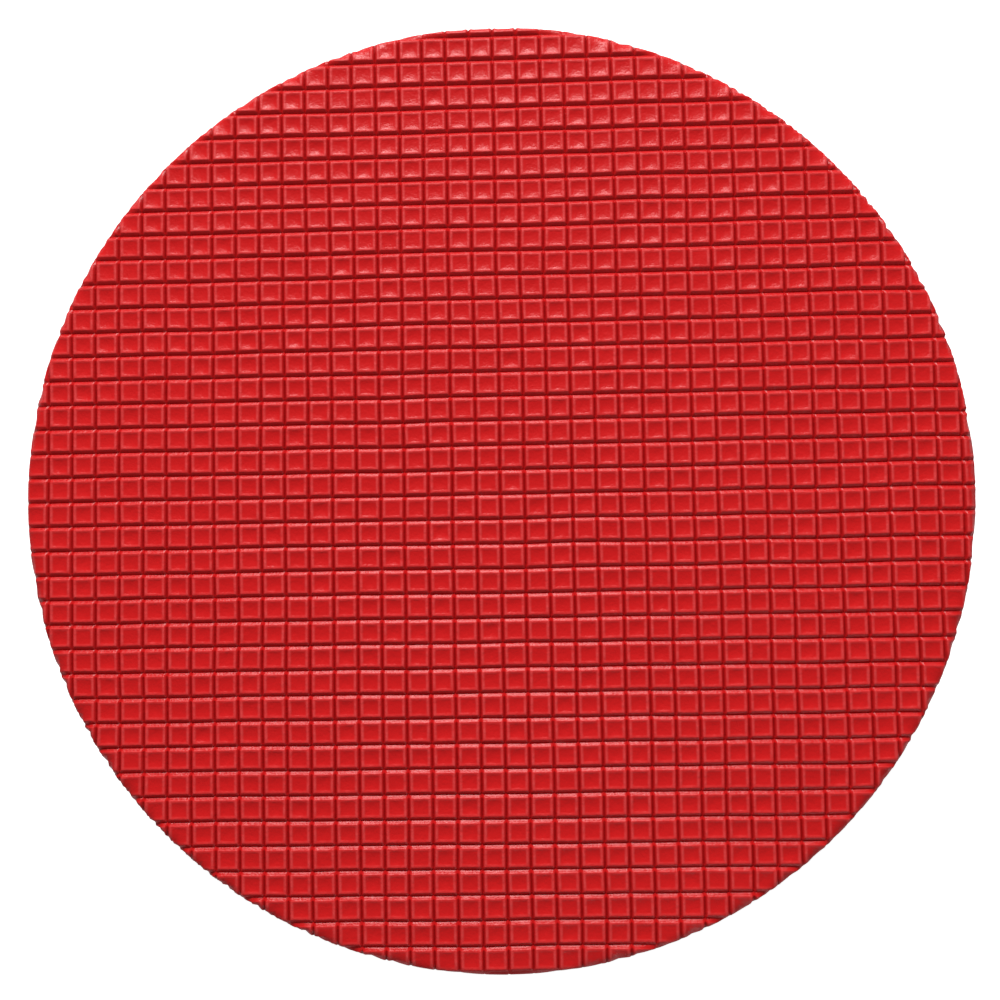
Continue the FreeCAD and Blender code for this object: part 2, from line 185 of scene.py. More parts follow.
# Sliders and pulls
SLIDER_REST = 3.2
SLIDER_INNER = (132.3, 133.4)
SLIDER_OUTER = (138.1, 139.2)
PIN_AXIS_R = 140.4
GRIP_START = 9.6
GRIP_END = 29.0
GRIP_ROUND = 1.6          # length of its rounded ends
GRIP_HALF_W = 3.05
GRIP_WIDENS = 0.75
GRIP_HALF_T = 1.28
GRIP_RIBS = (14.0, 26.0)
GRIP_RIB_PITCH = 2.0
GRIP_RIB_DEPTH = 0.4


# ---- Mesh and piece helpers ----
# A form is (points, faces). Its quads are smooth, and its other faces are flat ends and caps.

def turn_outwards(mesh):
    """Turns every face of each closed shell outwards."""
    shells = bmesh.new()
    shells.from_mesh(mesh)
    bmesh.ops.recalc_face_normals(shells, faces=shells.faces)
    shells.to_mesh(mesh)
    shells.free()


def make_piece(name, form, material, uv=None):
    """New object from a form in millimetres, with its faces turned outwards."""
    points, faces = form
    mesh = bpy.data.meshes.new(name)
    mesh.from_pydata((np.asarray(points, float) * MM).tolist(), [], faces)
    turn_outwards(mesh)
    mesh.polygons.foreach_set("use_smooth", [len(f) == 4 for f in faces])
    if uv is not None:
        layer = mesh.uv_layers.new(name="UVMap")
        loops = np.empty(len(mesh.loops), int)
        mesh.loops.foreach_get("vertex_index", loops)
        layer.data.foreach_set("uv", np.asarray(uv, float)[loops].ravel())
    mesh.materials.append(material)
    mesh.update()
    piece = bpy.data.objects.new(name, mesh)
    bpy.context.scene.collection.objects.link(piece)
    return piece


def add(name, form, material, slot, body, *replaced, uv=None):
    """New piece, with its finish, the body that it rides on and the CAD nodes that it stands for."""
    piece = make_piece(name, form, material, uv)
    if replaced:
        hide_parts(*replaced)
    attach(piece, body)
    return piece


def joined(forms):
    points = []
    faces = []
    start = 0
    for some_points, some_faces in forms:
        points.append(np.asarray(some_points, float))
        faces += [[start + k for k in face] for face in some_faces]
        start += len(some_points)
    return np.vstack(points), faces


def copies_of(form, placed):
    """One form from many copies of a form's faces, given every copy's points."""
    count, size = placed.shape[:2]
    faces = [[start + k for k in f] for start in range(0, count * size, size) for f in form[1]]
    return placed.reshape(-1, 3), faces


def stacked(*parts):
    """Coordinates of points, from arrays that broadcast together."""
    return np.stack(np.broadcast_arrays(*parts), -1)


def turns(steps):
    """Angles of even steps round a circle."""
    return np.arange(steps) * 2 * math.pi / steps


def unit(vectors):
    return vectors / np.linalg.norm(vectors, axis=-1, keepdims=True)


def on_case(bearing, radius, z):
    """Points from bearings, distances off the case's axis and heights."""
    turn = np.radians(bearing)
    return stacked(radius * np.sin(turn), -radius * np.cos(turn), z)


def mirrored(form):
    """A form of one pan, for the other pan."""
    points, faces = form
    return points * [1, 1, -1] + [0, 0, CASE_H], faces


def on_body(form, body):
    """A form of the base, for the base or the lid."""
    return mirrored(form) if body == "lid" else form


def rounded(corners, radius, steps=3):
    """Closed outline with its corners rounded. radius is one number, or one for each corner."""
    corners = np.asarray(corners, float)
    radii = np.broadcast_to(radius, len(corners))
    t = np.linspace(0, 1, steps + 1)[:, None]
    outline = []
    for here, before, after, r in zip(corners, np.roll(corners, 1, 0), np.roll(corners, -1, 0), radii):
        start = here + unit(before - here) * r
        end = here + unit(after - here) * r
        outline.append((1 - t) ** 2 * start + 2 * t * (1 - t) * here + t ** 2 * end)
    return np.vstack(outline)


def quads_between(rings, next_rings):
    """Quads from each ring of points to its next one. Rings are rows of the points' numbers."""
    sides = stacked(rings, np.roll(rings, -1, -1), np.roll(next_rings, -1, -1), next_rings)
    return sides.reshape(-1, 4)


def skin(sections, loop=False):
    """Form over a row of closed sections, (rows, around, 3), with flat ends unless it's a loop."""
    rings = np.arange(sections[..., 0].size).reshape(sections.shape[:2])
    if loop:
        faces = quads_between(rings, np.roll(rings, -1, 0)).tolist()
    else:
        ends = [rings[0][::-1].tolist(), rings[-1].tolist()]
        faces = quads_between(rings[:-1], rings[1:]).tolist() + ends
    return sections.reshape(-1, 3), faces


def lengths_along(path):
    """Distance along a path to each of its points."""
    steps = np.linalg.norm(np.diff(path, axis=0), axis=1)
    return np.concatenate([[0], np.cumsum(steps)])


def wire_loop(path, across, radius, sides):
    """Round wire along a closed flat path; across is square to the path's plane."""
    side = np.cross(unit(np.roll(path, -1, 0) - np.roll(path, 1, 0)), across)
    turn = turns(sides)[:, None]
    ring = np.cos(turn) * side[:, None] + np.sin(turn) * across
    return skin(path[:, None] + radius * ring, loop=True)


def rectangle(middle, width, depth):
    """Corners of a rectangle, anticlockwise."""
    return np.array([(-1, -1), (1, -1), (1, 1), (-1, 1)]) * [width / 2, depth / 2] + middle


def strip_uv(along, outline):
    """A strip's UV in millimetres: distances along it and round its outline."""
    around = lengths_along(np.vstack([outline, outline[:1]]))[:-1]
    return stacked(along[:, None], around).reshape(-1, 2)


def band(path, out, across, width, thickness, ribs=(1.0, 0.0)):
    """Flat strap along a path, with its UV. ribs is (pitch, depth) along it."""
    along = lengths_along(path)
    outline = rounded(rectangle((0, 0), width, thickness), 0.45 * thickness)
    pitch, depth = ribs
    thin = 1 - depth / thickness * (1 - np.cos(2 * math.pi * along / pitch))
    thin[[0, -1]] *= 0.7
    u, v = outline.T
    sections = path[:, None] + u[:, None] * across + (v * thin[:, None])[..., None] * out[:, None]
    return skin(sections), strip_uv(along, outline)


def ring_strip(outline, start, end, step=1.2):
    """Outline of (radius, z) swept round the case between two bearings, with its UV."""
    bearing = np.linspace(start, end, int((end - start) / step) + 1)
    radius, z = outline.T
    uv = strip_uv(np.radians(bearing) * radius.mean(), outline)
    return skin(on_case(bearing[:, None], radius, z)), uv


def turned(outline, steps, hole=False):
    """Outline of (radius, height) turned about +Z: closed round a hole, or open with flat ends."""
    turn = turns(steps)
    radius, height = np.asarray(outline, float).T[..., None]
    return skin(stacked(radius * np.cos(turn), radius * np.sin(turn), height), hole)


def slab(outlines, low, high, edge, steps=3):
    """Flat solid with rounded edges. The first outline is its outside, and the others are holes."""
    turn = np.linspace(0, math.pi / 2, steps + 1)
    inset = edge * (1 - np.sin(turn))
    rise = edge * (1 - np.cos(turn))
    insets = np.concatenate([inset, inset[::-1]])
    levels = np.concatenate([low + rise, high - rise[::-1]])
    sides = []
    flat = []
    bottom = []
    top = []
    start = 0
    for n, outline in enumerate(outlines):
        outline = np.asarray(outline, float)
        x, y = outline.T
        area = (x * np.roll(y, -1) - y * np.roll(x, -1)).sum()
        if (area > 0) == (n > 0):
            outline = outline[::-1]
        before = unit(outline - np.roll(outline, 1, 0))
        after = unit(np.roll(outline, -1, 0) - outline)
        lean = unit(before + after)
        inward = stacked(-lean[:, 1], lean[:, 0])
        x, y = (outline + inward * insets[:, None, None]).transpose(2, 0, 1)
        points, faces = skin(stacked(x, y, levels[:, None]))
        sides.append((points, faces[:-2]))
        flat.append([Vector(p) for p in points[:len(outline)]])
        end = start + len(points)
        bottom += range(start, start + len(outline))
        top += range(end - len(outline), end)
        start = end
    points, faces = joined(sides)
    for triangle in tessellate_polygon(flat):
        faces += [[cap[k] for k in triangle] for cap in (bottom, top)]
    return points, faces


def stitches(places, along, out, length=STITCH_LENGTH):
    """Rows of thread stitches: low lozenges whose ends dip into the cloth."""
    x = np.array([-1.0, -0.8, 0.0, 0.8, 1.0])[:, None]
    turn = turns(6)
    side = np.cross(out, along)
    swell = np.array([0.25, 0.75, 1.0, 0.75, 0.25])[:, None]
    one = skin(stacked(x, swell * np.cos(turn), swell * np.sin(turn) - 0.8 * x ** 2))
    u, v, w = (one[0] * [length / 2, STITCH_R * 1.1, STITCH_R]).T[..., None]
    placed = places[:, None] + along[:, None] * u + side[:, None] * v + out[:, None] * w
    return copies_of(one, placed)


def ring_stitches(radius, z, start, end, out=1, up=0):
    """A row of stitches round the case, on a face that looks out, in (-1), up or down (-1)."""
    bearing = np.arange(start, end, math.degrees(STITCH_GAP / radius))
    return stitches(on_case(bearing, radius, z), on_case(bearing + 90, 1.0, 0.0), on_case(bearing, out, up))


def line_stitches(start, end, out):
    """A straight row of stitches."""
    line = end - start
    run = np.linalg.norm(line)
    count = max(2, round(run / STITCH_GAP))
    places = start + (np.arange(count) + 0.5)[:, None] / count * line
    along = np.tile(unit(line), (count, 1))
    length = min(STITCH_LENGTH, run / count * STITCH_FILL)
    return stitches(places, along, np.tile(out, (count, 1)), length)


def upright_stitches(bearing, radius, levels):
    """A straight row of stitches up the case's side."""
    return line_stitches(*on_case(bearing, radius, np.array(levels)), on_case(bearing, 1.0, 0.0))


def arc(centre, radius, start, end, step=2.5):
    """Points on an arc in plan. Its angles are degrees anticlockwise from +X."""
    count = max(3, int(abs(math.radians(end - start)) * radius / step) + 1)
    turn = np.radians(np.linspace(start, end, count))
    return stacked(centre[0] + radius * np.cos(turn), centre[1] + radius * np.sin(turn))


def circle(centre, radius):
    return arc(centre, radius, 0, 360)[:-1]


# ---- Node helpers ----

class Nodes:
    """Short way to build the node tree of a new material or world."""

    def __init__(self, name, kind="materials", shader="Principled BSDF"):
        self.owner = getattr(bpy.data, kind).new(name)
        self.owner.use_nodes = True
        self.tree = self.owner.node_tree
        self.shader = self.tree.nodes[shader]

    def add(self, kind, inputs=(), **settings):
        node = self.tree.nodes.new(kind)
        for key, value in settings.items():
            setattr(node, key, value)
        for socket, value in dict(inputs).items():
            self.put(node.inputs[socket], value)
        return node

    def put(self, socket, value):
        if isinstance(value, bpy.types.NodeSocket):
            self.tree.links.new(value, socket)
        else:
            socket.default_value = value

    def place(self):
        """Position on the object, in metres."""
        return self.add("ShaderNodeTexCoord").outputs["Object"]

    def uv(self):
        """The two UV coordinates."""
        coordinates = self.add("ShaderNodeTexCoord").outputs["UV"]
        return self.add("ShaderNodeSeparateXYZ", {0: coordinates}).outputs[:2]

    def camera_ray(self):
        """1 where the camera sees the surface directly, and 0 where light does."""
        return self.add("ShaderNodeLightPath").outputs["Is Camera Ray"]

    def maths(self, operation, a, b=0.0, c=0.0):
        return self.add("ShaderNodeMath", {0: a, 1: b, 2: c}, operation=operation).outputs[0]

    def plus(self, a, b):
        return self.maths("ADD", a, b)

    def minus(self, a, b):
        return self.maths("SUBTRACT", a, b)

    def times(self, a, b):
        return self.maths("MULTIPLY", a, b)

    def noise(self, vector, scale, detail=3.0, rough=0.55):
        node = self.add(
            "ShaderNodeTexNoise",
            {"Vector": vector, "Scale": scale, "Detail": detail, "Roughness": rough},
        )
        return node.outputs["Fac"]

    def mix(self, factor, a, b):
        node = self.add("ShaderNodeMix", data_type="RGBA")
        self.put(node.inputs[0], factor)
        self.put(node.inputs[6], a)
        self.put(node.inputs[7], b)
        return node.outputs[2]

    def ramp(self, value, low, high, start=0.0, end=1.0):
        """Value remapped from start..end to low..high."""
        inputs = {"Value": value, "From Min": start, "From Max": end, "To Min": low, "To Max": high}
        return self.add("ShaderNodeMapRange", inputs).outputs[0]

    def wave(self, coordinate, pitch):
        """Sine of a coordinate, from -1 to 1."""
        return self.maths("SINE", self.times(coordinate, 2 * math.pi / pitch))

    def off_line(self, coordinate):
        """Distance to the nearest whole number."""
        shifted = self.maths("FRACT", self.plus(coordinate, 0.5))
        return self.maths("ABSOLUTE", self.minus(shifted, 0.5))

    def step(self, value, start, end):
        """0 at start, 1 at end, and smooth between them."""
        inputs = {"Value": value, "From Min": start, "From Max": end}
        return self.add("ShaderNodeMapRange", inputs, interpolation_type="SMOOTHSTEP").outputs[0]

    def bump(self, height, distance, strength=1.0, normal=None):
        inputs = {"Height": height, "Distance": distance, "Strength": strength}
        if normal is not None:
            inputs["Normal"] = normal
        return self.add("ShaderNodeBump", inputs).outputs[0]

    def set(self, **values):
        for key, value in values.items():
            self.put(self.shader.inputs[key.replace("_", " ")], value)
        return self.owner


def grey(level, warm=1.0):
    return (level * warm, level, level, 1)


# ---- Materials ----

DEEP_RED = (0.60, 0.008, 0.009, 1)
RED_VINYL = (0.67, 0.011, 0.012, 1)
# Pale rim colour, partly wear and partly painted highlight
RIM_WEAR_AND_HIGHLIGHT_RED = (0.80, 0.10, 0.10, 1)
# Colour of the painted shade in the grooves
GROOVE_PAINTED_SHADE_RED = (0.10, 0.001, 0.001, 1)
SIDE_GROOVE_PAINTED_SHADE = 0.45   # painted shade: how far a groove's colour is darkened next to a pad
ROW_GROOVE_PAINTED_SHADE = 0.15    # and between rows; both are painted shade
RIM_ROUGHER = 0.14        # roughness that a pad's rim gains, where its colour is paled by wear and painted highlight
RIM_LIP = 0.07            # finest relief of that rim


def leatherette():
    """Red square-embossed vinyl. Its UV counts cells, so that rim wear with painted highlight, and painted
    shade in the grooves, follow the pads.
    """
    n = Nodes("red_leatherette")
    place = n.place()
    blotch = n.noise(place, 60.0)
    grain = n.noise(place, 1500.0, 4.0, 0.62)
    crumple = n.noise(place, 480.0, 2.0)
    u, v = (n.off_line(coordinate) for coordinate in n.uv())
    # Painted shade: the grooves' colour is darkened where the relief's shade falls, next to the pads and
    # between rows.
    side_groove_painted_shade = n.times(n.step(u, 0.09, 0.02), n.step(v, 0.08, 0.18))
    row_groove_painted_shade = n.times(n.step(v, 0.12, 0.05), ROW_GROOVE_PAINTED_SHADE)
    groove = n.maths("MAXIMUM", n.times(side_groove_painted_shade, SIDE_GROOVE_PAINTED_SHADE), row_groove_painted_shade)
    from_edge = n.maths("SMOOTH_MIN", n.plus(u, 0.03), v, 0.07)
    rim = n.minus(n.step(from_edge, 0.09, 0.15), n.step(from_edge, 0.185, 0.265))
    # Rims paled in colour: partly wear, partly painted highlight. The pads' side rims are paled more than
    # their top and bottom rims, as painted highlight.
    side_rim_painted_highlight = n.step(n.minus(v, u), -0.04, 0.06)
    wear_and_painted_highlight = n.times(n.times(rim, n.ramp(crumple, 0.0, 0.6)), n.ramp(side_rim_painted_highlight, 0.5, 1.15))
    rim_wear_and_highlight_colour = n.mix(wear_and_painted_highlight, n.mix(blotch, DEEP_RED, RED_VINYL), RIM_WEAR_AND_HIGHLIGHT_RED)
    lip = n.bump(n.times(rim, n.ramp(crumple, 0.3, 1.7)), RIM_LIP * MM)
    texture = n.plus(grain, n.times(crumple, 1.5))
    return n.set(
        Base_Color=n.mix(groove, rim_wear_and_highlight_colour, GROOVE_PAINTED_SHADE_RED),
        Roughness=n.maths("MULTIPLY_ADD", rim, RIM_ROUGHER, n.ramp(grain, 0.24, 0.39)),
        Normal=n.bump(texture, 0.00016, 0.6, lip), Specular_IOR_Level=0.22,
    )


def woven(name, dark, light, pitch, depth, twill=False, rough=(0.75, 0.92), sheen=0.25):
    """Woven cloth on a UV in millimetres: a plain weave, or a slanting twill."""
    n = Nodes(name)
    place = n.place()
    u, v = n.uv()
    if twill:
        slant = n.wave(n.plus(u, v), pitch * 2)
        thread = n.times(n.wave(v, pitch), 0.5)
        height = n.plus(slant, thread)
    else:
        height = n.times(n.wave(u, pitch * 2), n.wave(v, pitch * 2))
    fuzz = n.noise(place, 2600.0, 3.0, 0.7)
    patchy = n.noise(place, 45.0)
    shade = n.ramp(n.plus(height, fuzz), 0.0, 1.0, -1.0, 2.0)
    cloth = n.mix(shade, dark, light)
    colour = n.mix(n.ramp(patchy, 0.0, 0.35), cloth, dark)
    relief = n.bump(height, depth * MM, 0.8)
    return n.set(
        Base_Color=colour, Roughness=n.ramp(fuzz, *rough), Normal=n.bump(fuzz, 0.00004, 0.4, relief),
        Specular_IOR_Level=0.2, Sheen_Weight=sheen, Sheen_Roughness=0.5,
    )


def knit():
    """Fine weft knit: rows of small Vs, on a UV in millimetres."""
    n = Nodes("knit_lining")
    place = n.place()
    u, v = n.uv()
    column = n.maths("ABSOLUTE", n.wave(u, 2.4))
    row = n.wave(n.plus(v, n.times(column, 0.7)), 1.5)
    height = n.plus(row, n.times(column, 0.9))
    fuzz = n.noise(place, 2200.0, 3.0, 0.7)
    patchy = n.noise(place, 30.0)
    shade = n.ramp(n.plus(height, fuzz), 0.0, 1.0, -1.0, 2.6)
    cloth = n.mix(shade, grey(0.035), grey(0.12))
    colour = n.mix(n.ramp(patchy, 0.0, 0.3), cloth, grey(0.045))
    return n.set(
        Base_Color=colour, Roughness=n.ramp(fuzz, 0.8, 0.95),
        Normal=n.bump(height, 0.00018, 0.8), Specular_IOR_Level=0.2,
        Sheen_Weight=0.3, Sheen_Roughness=0.5,
    )


def ribbed(name, dark, light, pitch, depth, sheen=0.15):
    """Elastic or webbing: ribs along the strap, crossed by finer picks, on a UV in millimetres."""
    n = Nodes(name)
    place = n.place()
    u, v = n.uv()
    rib = n.wave(v, pitch)
    pick = n.wave(n.plus(u, n.times(rib, 0.25)), pitch * 0.7)
    height = n.plus(rib, n.times(pick, 0.6))
    fuzz = n.noise(place, 2400.0, 3.0, 0.7)
    shade = n.ramp(n.plus(height, fuzz), 0.0, 1.0, -1.2, 2.4)
    wear_and_painted_highlight = n.ramp(n.noise(place, 55.0), 0.0, 0.4)
    colour = n.mix(wear_and_painted_highlight, n.mix(shade, dark, light), dark)
    return n.set(
        Base_Color=colour, Roughness=n.ramp(fuzz, 0.6, 0.85), Normal=n.bump(height, depth * MM, 0.8),
        Specular_IOR_Level=0.3, Sheen_Weight=sheen, Sheen_Roughness=0.45,
    )


def speckled(name, dark, light, scale, depth, rough, specular=0.35, sheen=0.0, cells=False):
    """Foam, felt, plastic, thread or rubber, from its grain per metre and that grain's depth."""
    n = Nodes(name)
    place = n.place()
    grain = n.noise(place, scale, 4.0, 0.65)
    if cells:
        found = n.add("ShaderNodeTexVoronoi", {"Vector": place, "Scale": scale}).outputs["Distance"]
        grain = n.plus(found, n.times(grain, 0.5))
    patchy = n.noise(place, scale / 25)
    shade = n.ramp(n.plus(grain, patchy), 0.0, 1.0, 0.5, 1.5)
    return n.set(
        Base_Color=n.mix(shade, dark, light), Roughness=n.ramp(grain, *rough),
        Normal=n.bump(grain, depth * MM, 0.7), Specular_IOR_Level=specular,
        Sheen_Weight=sheen, Sheen_Roughness=0.5,
    )


def metal(name, dark, light, rough):
    """Satin metal with fine scratches and faint patches of wear."""
    n = Nodes(name)
    place = n.place()
    drawn = n.add("ShaderNodeMapping", {"Vector": place, "Scale": (1, 1, 9)}).outputs[0]
    scratch = n.noise(drawn, 900.0, 4.0, 0.7)
    patchy = n.noise(place, 260.0)
    colour = n.mix(n.ramp(patchy, 0.0, 1.0, 0.35, 0.65), dark, light)
    roughness = n.ramp(n.plus(scratch, patchy), rough[0], rough[1], 0.6, 1.4)
    return n.set(
        Base_Color=colour, Metallic=1.0, Roughness=roughness, Normal=n.bump(scratch, 0.00002, 0.5)
    )


RED = leatherette()
CORE = speckled("moulded_core", grey(0.03), grey(0.06), 900.0, 0.05, (0.5, 0.65))
KNIT = knit()
BINDING = woven("rim_binding", (0.13, 0.006, 0.007, 1), (0.30, 0.016, 0.018, 1), 0.7, 0.10, twill=True)
TAPE = woven("zipper_tape", grey(0.012), grey(0.05), 0.8, 0.10, twill=True)
SPINE = woven("spine_fabric", grey(0.014), grey(0.065), 0.9, 0.14)
COIL = speckled("zipper_coil", grey(0.010), grey(0.022), 1500.0, 0.01, (0.22, 0.36), 0.5)
FOAM = speckled("tray_foam", grey(0.035), grey(0.075), 1300.0, 0.12, (0.85, 0.98), 0.2, cells=True)
FELT = speckled("tray_felt", grey(0.11), grey(0.21), 2000.0, 0.10, (0.9, 1.0), 0.15, sheen=0.5)
ELASTIC = ribbed("elastic", grey(0.010), grey(0.045), 1.1, 0.16)
NET = speckled("pocket_mesh", grey(0.012), grey(0.045), 2400.0, 0.05, (0.6, 0.8), 0.3, sheen=0.2)
WEBBING = ribbed("webbing", grey(0.012), grey(0.06), 1.5, 0.22)
THREAD = speckled("thread", grey(0.09), grey(0.20), 3200.0, 0.03, (0.55, 0.75), 0.3, sheen=0.2)
RED_THREAD = speckled("red_thread", (0.35, 0.02, 0.02, 1), (0.62, 0.05, 0.05, 1), 3200.0, 0.03, (0.5, 0.7))
GUNMETAL = metal("slider_metal", grey(0.13), grey(0.24), (0.26, 0.44))
NICKEL = metal("rivet_metal", grey(0.42, 1.03), grey(0.60, 1.02), (0.18, 0.38))
RUBBER = speckled("grip_rubber", grey(0.014), grey(0.030), 1800.0, 0.03, (0.55, 0.72), 0.4)


# ---- Embossed covers ----
# Stops across a cell and down it, from one groove line almost to the next. Their levels are the
# groove, the foot and crest of the pad's soft rim, the inside of the rim, and the middle of the dish.
ACROSS_STOPS = np.array([0.0, 0.07, 0.13, 0.24, 0.5, 0.76, 0.87, 0.93])
DOWN_STOPS = np.array([0.0, 0.105, 0.165, 0.28, 0.5, 0.72, 0.835, 0.895])
STOP_LEVEL = np.array([0, 1, 2, 3, 4, 3, 2, 1])
LEVEL_HEIGHT = np.array([-1.0, -0.08, 0.0, -0.33, -0.62])     # in groove depths
FOOT_LEVEL = 1
CREST_LEVEL = 2
INSIDE_LEVEL = 3
PAD_DRIFT = 0.09          # spreads of the pads' random amounts: how far they stray from the grid
PAD_LEAN = 0.08           # how far they lean from side to side
PAD_DISH = 0.22           # how much their dish differs, as a share of it
PAD_ROUGH = 0.012         # and how uneven their tops are


def smooth_table(rng, size, sigma):
    """Random table with neighbours partly averaged."""
    table = rng.normal(0, sigma, size)
    for _ in range(3):
        table = (table * 2 + np.roll(table, 1, 0) + np.roll(table, -1, 0)
                 + np.roll(table, 1, 1) + np.roll(table, -1, 1)) / 4
    return table


def bilinear(table, u, v):
    i = np.floor(u).astype(int)
    j = np.floor(v).astype(int)
    fu = u - i
    fv = v - j
    near = table[i, j] * (1 - fu) + table[i + 1, j] * fu
    far = table[i, j + 1] * (1 - fu) + table[i + 1, j + 1] * fu
    return near * (1 - fv) + far * fv


def draw_over_pan(x, y, height):
    """Puts flat sheet coordinates and their relief onto the lid's outside."""
    face_r = CASE_R - CORNER_R
    quarter = CORNER_R * math.pi / 2
    rho = np.hypot(x, y)
    run = np.maximum(rho - face_r, 0) * WALL_STRETCH
    turn = np.clip(run / quarter, 0, 1) * math.pi / 2
    down = np.maximum(run - quarter, 0)
    past_face = (rho - FULL_RELIEF_R) / RELIEF_FADE
    past_corner = (run - quarter) / RELIEF_FADE
    fade = np.interp(past_face, [0, 1], [1, CORNER_RELIEF])
    fade += np.interp(past_corner, [0, 4], [0, WALL_RELIEF - CORNER_RELIEF])
    crest_r = CORNER_R + height * fade
    radius = np.where(rho < face_r, rho, face_r + crest_r * np.sin(turn))
    level = CASE_H - CORNER_R + crest_r * np.cos(turn) - down
    safe = np.maximum(rho, 1e-9)
    return stacked(x / safe * radius, y / safe * radius, level)


def pad_relief(rng, u, v, cells, size):
    """Height of the relief: each pad has a groove, a soft rim and a top that is dished and leans."""
    level = np.tile(STOP_LEVEL, 2 * cells)
    ring = np.minimum(level[:, None], level)
    cell = (np.floor(u).astype(int) + cells, np.floor(v).astype(int) + cells)
    dish = rng.normal(1, PAD_DISH, size)[cell]
    lean_x = rng.normal(0, PAD_LEAN, size)[cell]
    lean_y = rng.normal(0, PAD_LEAN, size)[cell]
    lean = lean_x * (u - np.floor(u) - 0.5) + lean_y * (v - np.floor(v) - 0.5)
    height = LEVEL_HEIGHT[ring] * GROOVE_DEPTH
    height = np.where(ring >= INSIDE_LEVEL, height * dish, height)
    height += np.where(ring >= FOOT_LEVEL, lean, 0)
    return height + np.where(ring >= CREST_LEVEL, rng.normal(0, PAD_ROUGH, u.shape), 0)


def closed_cover(points, quads):
    """Closes an embossed sheet: a plain edge under the trim, the cut edge and a smooth inside."""
    edge = outline_of(quads)
    bearing = np.arctan2(points[edge, 1], points[edge, 0])
    edge = edge[np.argsort(bearing)]
    bearing = np.sort(bearing)
    tuck_r = CASE_R - 0.2
    inner_r = CASE_R - COVER_T
    ceiling = CASE_H - COVER_T
    section = [(tuck_r, RIM_Z + TRIM_COVERS), (tuck_r, RIM_Z), (inner_r, RIM_Z), (inner_r, ceiling)]
    radius, z = np.array(section).T[..., None]
    rings = stacked(radius * np.cos(bearing), radius * np.sin(bearing), z).reshape(-1, 3)
    rows = np.vstack([edge, len(points) + np.arange(len(rings)).reshape(-1, len(edge))])
    middle = len(points) + len(rings)
    faces = quads.tolist() + quads_between(rows[:-1], rows[1:])[:, ::-1].tolist()
    faces += stacked(rows[-1], middle, np.roll(rows[-1], -1)).tolist()
    return np.vstack([points, rings, UP * ceiling]), faces


def embossed_cover(seed):
    """Lid's cover, with its UV in cells. It is embossed flat and then drawn over the pan."""
    rng = np.random.default_rng(seed)
    wall = CASE_H - CORNER_R - RIM_Z - TRIM_COVERS
    rho_end = CASE_R - CORNER_R + (CORNER_R * math.pi / 2 + wall) / WALL_STRETCH
    cells = int(rho_end / PITCH_X) + 2
    index = np.arange(-cells, cells)[:, None]
    u, v = np.meshgrid((index + ACROSS_STOPS).ravel(), (index + DOWN_STOPS).ravel(), indexing="ij")
    size = (2 * cells + 2, 2 * cells + 2)
    drift_x = smooth_table(rng, size, PAD_DRIFT)
    drift_y = smooth_table(rng, size, PAD_DRIFT)
    x = GRID_X + PITCH_X * u + bilinear(drift_x, u + cells, v + cells)
    y = GRID_Y + PITCH_Y * v + bilinear(drift_y, u + cells, v + cells)
    height = pad_relief(rng, u, v, cells, size)

    whole = patches_of(np.hypot(x, y) < rho_end - 0.4).all(-1)
    quads = patches_of(np.arange(u.size).reshape(u.shape))[whole]
    used, compact = np.unique(quads, return_inverse=True)
    points = draw_over_pan(x, y, height).reshape(-1, 3)[used]
    points, faces = closed_cover(points, compact.reshape(-1, 4))
    uv = np.full((len(points), 2), 0.5)
    uv[:len(used)] = stacked(u, v).reshape(-1, 2)[used]
    return (points, faces), uv


def patches_of(grid):
    """The four corners of each patch of a grid."""
    return stacked(grid[:-1, :-1], grid[1:, :-1], grid[1:, 1:], grid[:-1, 1:])


def outline_of(quads):
    """Vertices on the edge of a patch of quads."""
    ends = stacked(quads, np.roll(quads, -1, 1)).reshape(-1, 2)
    ends.sort(axis=1)
    edges, uses = np.unique(ends, axis=0, return_counts=True)
    return np.unique(edges[uses == 1])


def sharpen_grooves(piece, cell_uv):
    """Keeps each groove a crease, where the shading would otherwise round it off."""
    mesh = piece.data
    ends = np.empty(len(mesh.edges) * 2, int)
    mesh.edges.foreach_get("vertices", ends)
    a, b = cell_uv[ends.reshape(-1, 2)].transpose(1, 0, 2)
    along = (np.abs(a - b) < 1e-9) & (np.abs(a - np.round(a)) < 1e-9)
    crease = mesh.attributes.new("sharp_edge", "BOOLEAN", "EDGE")
    crease.data.foreach_set("value", along.any(1))


def make_covers():
    for body, seed in (("lid", 11), ("base", 23)):
        form, cell_uv = embossed_cover(seed)
        if body == "base":
            form = mirrored(form)
        name = f"{body}_embossed_cover"
        piece = add(name, form, RED, "red_leatherette", body, f"{body}_cover", uv=cell_uv)
        sharpen_grooves(piece, cell_uv)


# ---- Rim, lining and zipper of each pan ----

def trim_outline():
    """Edging over the cut edge, drawn in a little along its row of stitches."""
    out_r = CASE_R + TRIM_T
    low = BASE_RIM_Z - TRIM_LEG
    high = BASE_RIM_Z + TRIM_T
    corners = [
        (TAPE_OUT_R + 0.1, BASE_RIM_Z + 0.05), (CASE_R - 0.02, BASE_RIM_Z + 0.05), (CASE_R - 0.02, low),
        (out_r - 0.05, low), (out_r - 0.28, low + 1.5), (out_r, low + 2.9), (out_r, high),
        (TAPE_OUT_R + 0.1, high),
    ]
    return rounded(corners, [0.2, 0.2, 0.2, 0.35, 0.5, 0.6, 0.6, 0.2])


def tape_outline():
    corners = [
        (TAPE_IN_R + 0.05, TAPE_EDGE_Z), (TAPE_OUT_R, TAPE_EDGE_Z), (TAPE_OUT_R, TAPE_TOP_Z),
        (TAPE_IN_R + 0.05, TAPE_TOP_Z), (TAPE_IN_R - 0.2, TAPE_TOP_Z - 1.0),
        (TAPE_IN_R + 0.05, TAPE_TOP_Z - 2.0),
    ]
    return rounded(corners, 0.2, 2)


